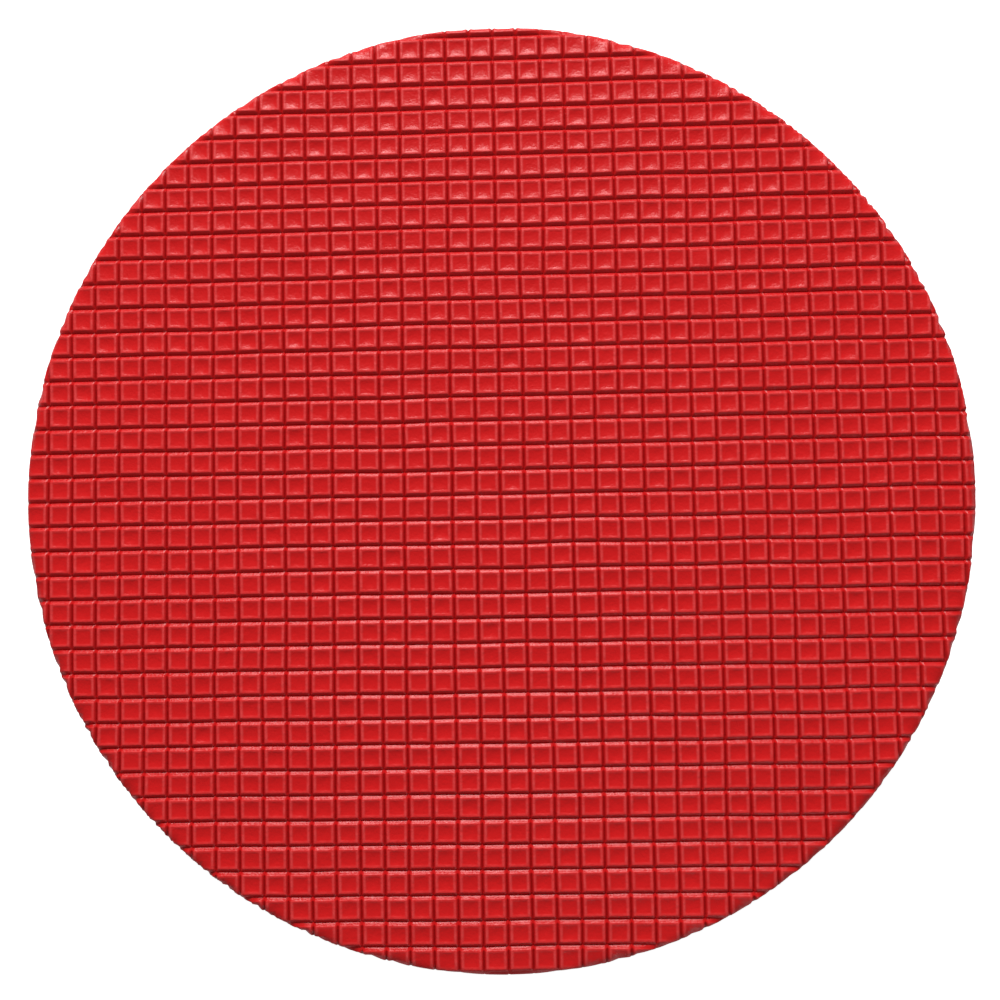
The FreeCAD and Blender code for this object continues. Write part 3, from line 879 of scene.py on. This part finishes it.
def coil_teeth(first):
    """Loops of the zipper's coil, the first so far past its end. Their heads pass the parting plane."""
    inner, outer = TOOTH_LEGS_R
    height = TOOTH_MESHED_Z - TOOTH_FOOT_Z
    path = rounded([(inner, 0), (outer, 0), (outer, height), (inner, height)], 0.5, 2)
    loop = stacked(path[:, 0], 0.0, path[:, 1])
    tooth = wire_loop(loop, BACK, TOOTH_WIRE, 6)
    radius, sideways, rise = tooth[0].T
    bearing = np.arange(-COIL_END + first, COIL_END, math.degrees(TOOTH_PITCH / (inner + outer) * 2))
    top = np.interp(np.abs(bearing), [OPEN_BEARING, MESHED_BEARING], [TOOTH_PARTED_Z, TOOTH_MESHED_Z])
    share = np.clip(rise / height, 0, 1)
    z = TOOTH_FOOT_Z + rise + share * (top - TOOTH_MESHED_Z)[:, None]
    middle = on_case(bearing[:, None], radius, z)
    along = on_case(bearing + 90, 1.0, 0.0)
    return copies_of(tooth, middle + along[:, None] * sideways[:, None])


def lining_outline():
    """Lining's section from the middle of its outside, over the rim, to the middle of its inside."""
    centre_r = LINING_OUT_R - LINING_CORNER_R
    centre_z = LINING_LOW_Z + LINING_CORNER_R
    floor = np.linspace(20.0, centre_r, 8)[:-1]
    turn = np.linspace(0, math.pi / 2, 6)
    wall = np.linspace(centre_z, BASE_RIM_Z - 0.1, 4)[1:]
    outside, inside = (
        np.vstack([
            stacked(floor, LINING_LOW_Z + inset),
            stacked(centre_r, centre_z) + (LINING_CORNER_R - inset) * stacked(np.sin(turn), -np.cos(turn)),
            stacked(LINING_OUT_R - inset, wall),
        ])
        for inset in (0.0, LINING_T)
    )
    return np.vstack([outside, inside[::-1]])


def make_lining(body):
    outline = lining_outline()
    form = turned(outline, LINING_STEPS)
    run = lengths_along(outline[:len(outline) // 2]) + outline[0, 0]
    run = np.concatenate([run, run[::-1]])[:, None]
    turn = turns(LINING_STEPS)
    uv = stacked(run * np.cos(turn), run * np.sin(turn)).reshape(-1, 2)
    form = on_body(form, body)
    piece = add(f"{body}_knit_lining", form, KNIT, "knit_lining", body, f"{body}_lining", uv=uv)


def make_spine_edging(body):
    """Flat tape over the cut edge, where the spine stands in for the rim trim."""
    low = BASE_RIM_Z + 0.05
    high = BASE_RIM_Z + 0.75
    corners = [(TAPE_OUT_R + 0.1, low), (CASE_R, low), (CASE_R, high), (TAPE_OUT_R + 0.1, high)]
    form, uv = ring_strip(rounded(corners, [0.1, 0.1, 0.3, 0.3]), TRIM_END + 0.1, 359.9 - TRIM_END)
    add(f"{body}_spine_edging", on_body(form, body), SPINE, "spine_fabric", body, uv=uv)


def make_pan_rim(body):
    """Rim trim, tape and coil of one pan, with their stitching."""
    half_pitch = math.degrees(TOOTH_PITCH / sum(TOOTH_LEGS_R))
    first = FIRST_TOOTH + (half_pitch if body == "lid" else 0)
    trim, trim_uv = ring_strip(trim_outline(), -TRIM_END, TRIM_END)
    trim_row = ring_stitches(
        CASE_R + TRIM_T - 0.25, BASE_RIM_Z - TRIM_LEG + 1.5, -TRIM_END + 0.6, TRIM_END - 0.6
    )
    tape, tape_uv = ring_strip(tape_outline(), -TAPE_END, TAPE_END)
    tape_row = ring_stitches(TAPE_IN_R + 0.02, TAPE_EDGE_Z + 2.2, -TAPE_END + 1, TAPE_END - 1, out=-1)
    for name, form, uv, material, slot, replaced in (
        ("rim_binding", trim, trim_uv, BINDING, "rim_binding", ["rim_trim"]),
        ("rim_stitches", trim_row, None, RED_THREAD, "rim_binding", []),
        ("woven_tape", tape, tape_uv, TAPE, "zipper_tape", ["zipper_tape"]),
        ("tape_stitches", tape_row, None, THREAD, "zipper_tape", []),
        ("coil_teeth", coil_teeth(first), None, COIL, "zipper_coil", ["zipper_coil"]),
    ):
        nodes = [f"{body}_{node}" for node in replaced]
        add(f"{body}_{name}", on_body(form, body), material, slot, body, *nodes, uv=uv)


# ---- Spine ----

def make_spine():
    """One fabric strip over both pans at the back, creased where it crosses the parting plane."""
    from_back = np.linspace(-SPINE_HALF_DEG, SPINE_HALF_DEG, 28)
    bearing = 180 + from_back
    low, high = SPINE_Z
    fold = PARTING_Z + np.linspace(-SPINE_BEND_HALF, SPINE_BEND_HALF, 17)
    z = np.concatenate([np.linspace(low, fold[0], 12)[:-1], fold, np.linspace(fold[-1], high, 12)[1:]])
    sewn = sum(SPINE_SEWN_IN * np.exp(-((z - row) / 0.7) ** 2) for row in SPINE_STITCH_Z)
    crease = SPINE_CREASE * np.exp(-(z - PARTING_Z) ** 2)
    ends = np.interp(z, [low, low + 0.6, high - 0.6, high], [SPINE_END_DROP, 0, 0, SPINE_END_DROP])
    sides = np.where(np.abs(from_back) < SPINE_HALF_DEG, 0, SPINE_SIDE_DROP)
    outer_r = (SPINE_OUT_R - sewn - crease - ends)[:, None] - sides
    outside = on_case(bearing, outer_r, z[:, None])
    inside = on_case(bearing[::-1], SPINE_IN_R, z[:, None])
    width = np.radians(from_back) * CASE_R
    across = np.concatenate([width, width[::-1]])
    uv = stacked(across, z[:, None]).reshape(-1, 2)
    piece = make_piece("spine_strip", skin(np.concatenate([outside, inside], 1)), SPINE, uv)
    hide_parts("spine_base_leaf", "spine_lid_leaf")
    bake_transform(piece)

    first = 180 - SPINE_HALF_DEG + 1.0
    last = 180 + SPINE_HALF_DEG - 1.0
    for body, row_z, far_z in (("base", SPINE_STITCH_Z[0], 24.5), ("lid", SPINE_STITCH_Z[1], 35.5)):
        rows = [ring_stitches(SPINE_OUT_R - 0.2, row_z, first, last)]
        rows += [upright_stitches(side, SPINE_OUT_R, (row_z, far_z)) for side in (first - 0.2, last + 0.2)]
        add(f"spine_stitches_{body}", joined(rows), THREAD, "spine_fabric", body)


# ---- Foam tray ----

def ball_outlines():
    return [circle((side * x, y), BALL_R) for x, y in BALL_PLACES for side in (-1, 1)]


def tray_edge():
    """Tray's round edge, from one side of the handle's slot to the other."""
    slot_angle = math.degrees(math.acos(GRIP_SLOT_HALF / TRAY_R))
    return arc((0, 0), TRAY_R, -slot_angle, 180 + slot_angle)


def slotted_outline():
    """Tray's edge and the handle's slot."""
    corner_r = 4.0
    x = GRIP_SLOT_HALF - corner_r
    y = GRIP_SLOT_START_Y - corner_r
    return np.vstack([
        tray_edge(), arc((-x, y), corner_r, 180, 90, 0.8), arc((x, y), corner_r, 90, 0, 0.8)
    ])


def paddle_outline():
    """Tray's edge, and the slot that opens into the paddle's head with its thumb notches."""
    neck = math.degrees(math.asin(GRIP_SLOT_HALF / HEAD_R))
    notch = 2 * math.degrees(math.asin(THUMB_R / 2 / HEAD_R))
    turn = 90 - notch / 2
    head = (0, HEAD_Y)
    return np.vstack([
        tray_edge(),
        arc(head, HEAD_R, 270 - neck, 180 + notch),
        arc((-HEAD_R, HEAD_Y), THUMB_R, 360 - turn, turn)[1:-1],
        arc(head, HEAD_R, 180 - notch, notch),
        arc((HEAD_R, HEAD_Y), THUMB_R, 180 - turn, turn - 180)[1:-1],
        arc(head, HEAD_R, -notch, neck - 90),
    ])


def make_tray():
    lower = slab([slotted_outline()] + ball_outlines(), FLOOR_Z + 0.02, TRAY_LOWER_TOP_Z, 0.6)
    upper = slab([paddle_outline()] + ball_outlines(), TRAY_LOWER_TOP_Z, TRAY_UPPER_TOP_Z, 0.6)
    facing = slab([paddle_outline()] + ball_outlines(), TRAY_UPPER_TOP_Z, FACING_TOP_Z, 0.4)
    for name, form in (("lower", lower), ("upper", upper)):
        piece = add(f"{name}_foam_layer", form, FOAM, "tray_foam", "base", f"tray_{name}_layer")
    piece = add("felt_facing", facing, FELT, "tray_felt", "base", "tray_facing")


def make_handle_band():
    """Ribbed elastic over the handle's slot, under a sewn patch at each end."""
    x = np.arange(-BAND_HALF, BAND_HALF + 0.01, 0.3)
    lift = BAND_LIFT * np.cos(np.clip(x / GRIP_SLOT_HALF, -1, 1) * math.pi / 2)
    path = stacked(x, BAND_Y, FACING_TOP_Z + BAND_T / 2 + lift - 0.05)
    form, uv = band(path, np.tile(UP, (len(x), 1)), BACK, BAND_W, BAND_T - 0.1, (2.4, 0.12))
    add("elastic_handle_band", form, ELASTIC, "elastic", "base", "handle_band", uv=uv)

    patches = []
    rows = []
    low = FACING_TOP_Z + BAND_T
    high = low + PATCH_T
    for side in (-1, 1):
        middle = (side * (BAND_HALF - PATCH_LENGTH / 2), BAND_Y)
        patches.append(slab([rounded(rectangle(middle, PATCH_LENGTH, BAND_W), 1.5)], low - 0.1, high, 0.3))
        sewn = rectangle(middle, PATCH_LENGTH - 2 * PATCH_HEM, BAND_W - 2 * PATCH_HEM)
        a, b, c, d = stacked(*sewn.T, high)
        rows += [line_stitches(*ends, UP) for ends in ((a, b), (b, c), (c, d), (d, a), (a, c), (b, d))]
    add("sewn_band_patches", joined(patches), FELT, "tray_felt", "base", "band_patches")
    add("band_patch_stitches", joined(rows), THREAD, "tray_felt", "base")


# ---- Lid pocket ----

def hexagon(radius):
    turn = turns(6) + math.pi / 6
    return radius * stacked(np.cos(turn), np.sin(turn))


def netting():
    """Flat netting of hexagonal cells with real holes, inside the pocket's outline."""
    cell_r = MESH_PITCH / math.sqrt(3)
    rows = np.arange(-int(POCKET_R / cell_r), int(POCKET_R / cell_r) + 1)
    columns = np.arange(-int(POCKET_R / MESH_PITCH) - 1, int(POCKET_R / MESH_PITCH) + 2)
    i, j = np.meshgrid(columns, rows)
    x = (i + (j % 2) / 2) * MESH_PITCH
    y = POCKET_MOUTH_Y + 3.0 + j * cell_r * 1.5
    keep = (np.hypot(x, y) < POCKET_R - 1.5 - cell_r * 0.5) & (y < POCKET_MOUTH_Y + 3.5)
    middle = stacked(x[keep], y[keep])[:, None]
    around = np.round(middle + hexagon(cell_r), 3)
    hole = middle + hexagon(cell_r * MESH_HOLE)
    corners, shared = np.unique(around.reshape(-1, 2), axis=0, return_inverse=True)
    flat = np.vstack([corners, hole.reshape(-1, 2)])
    shared = shared.reshape(-1, 6)
    own = len(corners) + np.arange(shared.size).reshape(-1, 6)
    total = len(flat)
    sides = stacked(shared, np.roll(shared, -1, 1)).reshape(-1, 2)
    _, which, uses = np.unique(np.sort(sides, 1), axis=0, return_inverse=True, return_counts=True)
    a, b = sides[uses[which.ravel()] == 1].T
    flesh = quads_between(shared, own)
    wall = quads_between(own, own + total)
    faces = [flesh[:, ::-1], flesh + total, wall[:, ::-1], stacked(a, b, b + total, a + total)]
    sag = MESH_SAG * np.clip(1 - (np.hypot(*flat.T) / POCKET_R) ** 2, 0, 1)
    low = POCKET_MESH_Z - sag * np.clip((POCKET_MOUTH_Y - flat[:, 1]) / MESH_SAG_RUN, 0, 1)
    points = np.vstack([stacked(*flat.T, low), stacked(*flat.T, low + POCKET_MESH_T)])
    return points, np.vstack(faces).tolist()


def make_pocket():
    form = netting()
    piece = add("pocket_netting", form, NET, "pocket_mesh", "lid", "pocket_mesh", uv=form[0][:, :2])

    mouth = math.degrees(math.asin(POCKET_MOUTH_Y / POCKET_R))
    low = POCKET_MESH_Z - 0.25
    foot_r = POCKET_R - 3.6
    wall_r = POCKET_R - GUSSET_T
    corners = [
        (foot_r, low), (POCKET_R, low), (POCKET_R, POCKET_CEILING_Z), (wall_r, POCKET_CEILING_Z),
        (wall_r, low + 1.0), (foot_r, low + 1.0),
    ]
    form, uv = ring_strip(rounded(corners, 0.3), -90 - mouth, 90 + mouth)
    add("pocket_gusset_strip", form, ELASTIC, "elastic", "lid", "pocket_gusset", uv=uv)
    row = ring_stitches(POCKET_R - 2.0, low, -88 - mouth, 88 + mouth, out=0, up=-1)
    add("pocket_edge_stitches", row, THREAD, "elastic", "lid")

    half = math.sqrt(POCKET_R ** 2 - (POCKET_MOUTH_Y + HEM_W) ** 2)
    x = np.arange(-half, half, 0.45)
    path = stacked(x, POCKET_MOUTH_Y + HEM_W / 2, HEM_MID_Z)
    form, uv = band(path, np.tile(UP, (len(x), 1)), BACK, HEM_W, HEM_T, (3.6, 0.2))
    add("gathered_hem", form, ELASTIC, "elastic", "lid", "pocket_hem", uv=uv)
    ends = stacked([2 - half, half - 2], POCKET_MOUTH_Y + 1.4, HEM_MID_Z - HEM_T / 2)
    add("hem_stitches", line_stitches(*ends, -UP), THREAD, "elastic", "lid")


# ---- Carry strap ----

def strap_line():
    """Middle line of the strap: on the wall, round a blend, over the arch, and its mirror image."""
    arch_y = STRAP_APEX_R - STRAP_ARCH_R
    reach = STRAP_WALL_R + STRAP_BLEND_R
    far = STRAP_ARCH_R + STRAP_BLEND_R
    blend_bearing = math.degrees(math.acos((reach ** 2 + arch_y ** 2 - far ** 2) / (2 * reach * arch_y)))
    blend_x, blend_y = on_case(blend_bearing, reach, 0.0)[:2]
    arch_bearing = math.degrees(math.atan2(blend_x, -arch_y - blend_y))
    right = np.vstack([
        arc((0, -arch_y), STRAP_ARCH_R, -90, arch_bearing - 90, 0.3),
        arc((blend_x, blend_y), STRAP_BLEND_R, arch_bearing + 90, blend_bearing + 90, 0.3)[1:],
        arc((0, 0), STRAP_WALL_R, blend_bearing - 90, STRAP_END - 90, 0.3)[1:],
    ])
    return stacked(*np.vstack([right[:0:-1] * [-1, 1], right]).T, STRAP_MID_Z)


def make_strap():
    path = strap_line()
    out = np.cross(unit(np.gradient(path, axis=0)), UP)
    form, uv = band(path, out, UP, STRAP_W, STRAP_T - 0.05, (1.5, 0.09))
    add("webbing_carry_strap", form, WEBBING, "webbing", "base", "carry_strap", uv=uv)

    face_r = STRAP_WALL_R + STRAP_T / 2 - 0.05
    levels = STRAP_MID_Z + (STRAP_W / 2 - 1.6) * np.array([-1, 1])
    sewn = (STRAP_END - 7.6, STRAP_END - 0.8)
    rows = []
    for first, last in ((-sewn[1], -sewn[0]), sewn):
        rows += [ring_stitches(face_r, z, first, last) for z in levels]
        rows += [upright_stitches(bearing, face_r, levels) for bearing in (first, last)]
    add("strap_stitches", joined(rows), THREAD, "webbing", "base")


def make_rivets():
    """Domed head with a ring round it, shank and flat tail; and the washer under the tail."""
    tail, collar = 132.9, 133.7
    low, high = 133.72, 134.44
    head = RIVET_SEAT_R
    rivet = [
        (0.4, tail), (3.0, tail), (3.2, tail + 0.2), (3.2, collar - 0.1), (2.0, collar), (2.0, head),
        (4.4, head), (4.5, head + 0.15), (4.4, head + 0.4), (3.9, head + 0.55), (3.6, head + 0.5),
        (3.3, head + 0.75), (2.5, head + 1.02), (1.5, head + 1.16), (0.4, head + 1.2),
    ]
    washer = [
        (2.05, low), (4.8, low), (5.0, low + 0.14), (5.0, high - 0.14), (4.8, high), (2.05, high)
    ]
    for name, form in (("rivet", turned(rivet, 40)), ("washer", turned(washer, 40, hole=True))):
        x, y, h = form[0].T[..., None]
        placed = []
        for bearing in (-RIVET_BEARING, RIVET_BEARING):
            along = on_case(bearing + 90, 1.0, 0.0)
            placed.append(x * along + h * on_case(bearing, 1.0, 0.0) + (y + STRAP_MID_Z) * UP)
        pair = copies_of(form, np.array(placed))
        add(f"strap_{name}_pair", pair, NICKEL, "rivet_metal", "base", f"strap_{name}s")


# ---- Sliders and pulls ----
# Forms are made at the front with the nose at -X, as (x, z above the parting plane, radius).

def at_slider(form, side):
    """Turns a slider's form to its bearing. side is 1 for the right-hand one, and -1 for its mirror."""
    x, rise, radius = form[0].T
    along = on_case(SLIDER_REST + 90, 1.0, 0.0)
    points = on_case(SLIDER_REST, radius, PARTING_Z + rise) + x[:, None] * along
    return points * [side, 1, 1], form[1]


def slider_form():
    """Shield-shaped outer and inner plates, the post between them, and the lower flange."""
    side = [(-6.5, -3.0), (-4.9, -4.6), (1.5, -4.45), (6.5, -3.5)]
    other = [(x, -y) for x, y in side[::-1]]
    shield = rounded(side + other, [0.8, 1.0, 1.2, 1.4, 1.4, 1.2, 1.0, 0.8])
    post = rounded([(-6.1, -0.45), (-2.7, -0.3), (-2.7, 0.3), (-6.1, 0.45)], 0.25)
    flange = rounded([(-4.9, -4.6), (4.6, -4.5), (4.6, -3.7), (-4.9, -3.7)], 0.3)
    return joined([
        slab([shield], *SLIDER_OUTER, 0.35),
        slab([shield], *SLIDER_INNER, 0.35),
        slab([post], SLIDER_INNER[1] - 0.2, SLIDER_OUTER[0] + 0.2, 0.05),
        slab([flange], SLIDER_INNER[1] + 2.0, SLIDER_OUTER[0] + 0.4, 0.2),
    ])


def bail_form():
    """Arch of flat bar that holds the pull's pin."""
    base = SLIDER_OUTER[1]
    corners = np.array([(-4.3, base - 0.3), (-3.7, base + 2.7), (3.7, base + 2.7), (4.3, base - 0.3)])
    steps = 5
    bends = rounded(corners, 1.3, steps)[steps + 1:-steps - 1]
    x, radius = np.vstack([corners[:1], bends, corners[-1:]]).T
    line = stacked(x, 0.0, radius)
    out = np.cross(unit(np.gradient(line, axis=0)), BACK)
    return band(line, out, BACK, 2.6, 1.0)[0]


def link_form():
    """Wire loop through the bail and into the grip."""
    length, width, wire_r = 10.8, 4.4, 0.6
    flat = rounded(rectangle((length / 2, 0), length, width), 2 * wire_r, 5)
    return wire_loop(stacked(*flat.T, PIN_AXIS_R), UP, wire_r, 10)


def grip_form():
    """Rubber tab that widens to its far end, with ribs across its middle."""
    x = np.linspace(GRIP_START, GRIP_END, 60)
    share = (x - GRIP_START) / (GRIP_END - GRIP_START)
    end = np.clip(np.minimum(x - GRIP_START, GRIP_END - x) / GRIP_ROUND, 0, 1)
    dome = np.sqrt(np.clip(1 - (1 - end) ** 2, 0.02, 1))
    half_w = (GRIP_HALF_W + GRIP_WIDENS * share ** 1.5) * dome
    ribbed_part = np.clip(np.minimum(x - GRIP_RIBS[0], GRIP_RIBS[1] - x) / 0.8, 0, 1)
    rib = GRIP_RIB_DEPTH / 2 * (1 - np.cos(2 * math.pi * x / GRIP_RIB_PITCH))
    half_t = (GRIP_HALF_T - ribbed_part * rib) * (0.35 + 0.65 * dome)
    circle_y, circle_z = np.cos(turns(28)), np.sin(turns(28))
    box_y = np.sign(circle_y) * np.abs(circle_y) ** 0.5
    box_z = np.sign(circle_z) * np.abs(circle_z) ** 0.5
    return skin(stacked(x[:, None], half_w[:, None] * box_y, PIN_AXIS_R + half_t[:, None] * box_z))


def make_sliders():
    """The body and bail ride on the slider, and the link and grip on its pull."""
    for side, mirror in (("left", -1), ("right", 1)):
        for kind, part, form, material, slot in (
            ("slider", "body", slider_form(), GUNMETAL, "slider_metal"),
            ("slider", "bail", bail_form(), GUNMETAL, "slider_metal"),
            ("pull", "link", link_form(), GUNMETAL, "slider_metal"),
            ("pull", "grip", grip_form(), RUBBER, "grip_rubber"),
        ):
            body = f"{kind}_{side}"
            add(f"{side}_{kind}_{part}", at_slider(form, mirror), material, slot, body, f"{body}_{part}")


def finish_kept_nodes():
    """CAD nodes whose shape is right: the moulded cores and the zipper's end stops."""
    for body in ("base", "lid"):
        for node, material in ((f"{body}_core", CORE), (f"{body}_zipper_stops", COIL)):
            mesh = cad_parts[node].data
            mesh.materials.clear()
            mesh.materials.append(material)


# ---- Stage ----

def look_at(thing, place, target, roll=0.0):
    """Turns a camera or light to its target, with +Y up in its view before it is rolled."""
    back = (Vector(place) - Vector(target)).normalized()
    right = Vector((0, 1, 0)).cross(back).normalized()
    turn = Matrix((right, back.cross(right), back)).transposed()
    thing.rotation_mode = "QUATERNION"
    thing.location = place
    thing.rotation_quaternion = (turn @ Matrix.Rotation(roll, 3, "Z")).to_quaternion()


def towards(bearing, elevation):
    """Direction from the case, in degrees round from the front and up from level."""
    return Vector(on_case(bearing, math.cos(math.radians(elevation)), math.sin(math.radians(elevation))))


def add_camera():
    """Nearly straight down on the lid's face, a little towards the front and the right."""
    tilt = 3.04
    bearing = 29.9
    roll = -1.06
    distance = 0.3
    target = Vector((1.2, -2.71, CASE_H)) * MM
    data = bpy.data.cameras.new("camera")
    data.sensor_width = 36.0
    data.lens = 36.78
    data.clip_start = 0.01
    camera = bpy.data.objects.new("camera", data)
    bpy.context.scene.collection.objects.link(camera)
    look_at(camera, target + towards(bearing, 90 - tilt) * distance, target, math.radians(roll))
    bpy.context.scene.camera = camera


def add_light(name, bearing, elevation, distance, size, power):
    """Area light that faces the case's middle. Its lengths are in metres, and its power in watts."""
    middle = Vector((0, 0, PARTING_Z * MM))
    data = bpy.data.lights.new(name, "AREA")
    data.shape = "RECTANGLE"
    data.size, data.size_y = size
    data.energy = power
    light = bpy.data.objects.new(name, data)
    light.visible_camera = False
    bpy.context.scene.collection.objects.link(light)
    look_at(light, middle + distance * towards(bearing, elevation), middle)


def add_stage():
    """Floor and backdrop that are white to the camera and dim to the case, a key and a low fill."""
    white = (1, 1, 1, 1)
    floor = Nodes("pale_floor")
    tone = floor.noise(floor.place(), 3.0)
    floor.set(
        Base_Color=floor.mix(tone, grey(0.64), grey(0.70)), Roughness=0.9,
        Emission_Color=white, Emission_Strength=floor.ramp(floor.camera_ray(), 0.1, 0.88),
    )
    corners = stacked(*rectangle((0, 0), 6000.0, 6000.0).T, -0.5)
    make_piece("floor", (corners, [(0, 1, 2, 3)]), floor.owner)
    room = Nodes("studio", "worlds", "Background")
    strength = room.ramp(room.camera_ray(), 0.22, 1.0)
    bpy.context.scene.world = room.set(Color=white, Strength=strength)
    add_light("key", bearing=184.5, elevation=34, distance=2.1, size=(0.8, 0.45), power=54.0)
    add_light("low_fill", bearing=20, elevation=5, distance=2.1, size=(2.0, 0.3), power=7.0)
    bpy.context.scene.view_settings.view_transform = "Standard"


make_covers()
for half_body in ("base", "lid"):
    make_lining(half_body)
    make_pan_rim(half_body)
    make_spine_edging(half_body)
make_spine()
make_tray()
make_handle_band()
make_pocket()
make_strap()
make_rivets()
make_sliders()
finish_kept_nodes()
add_stage()
add_camera()
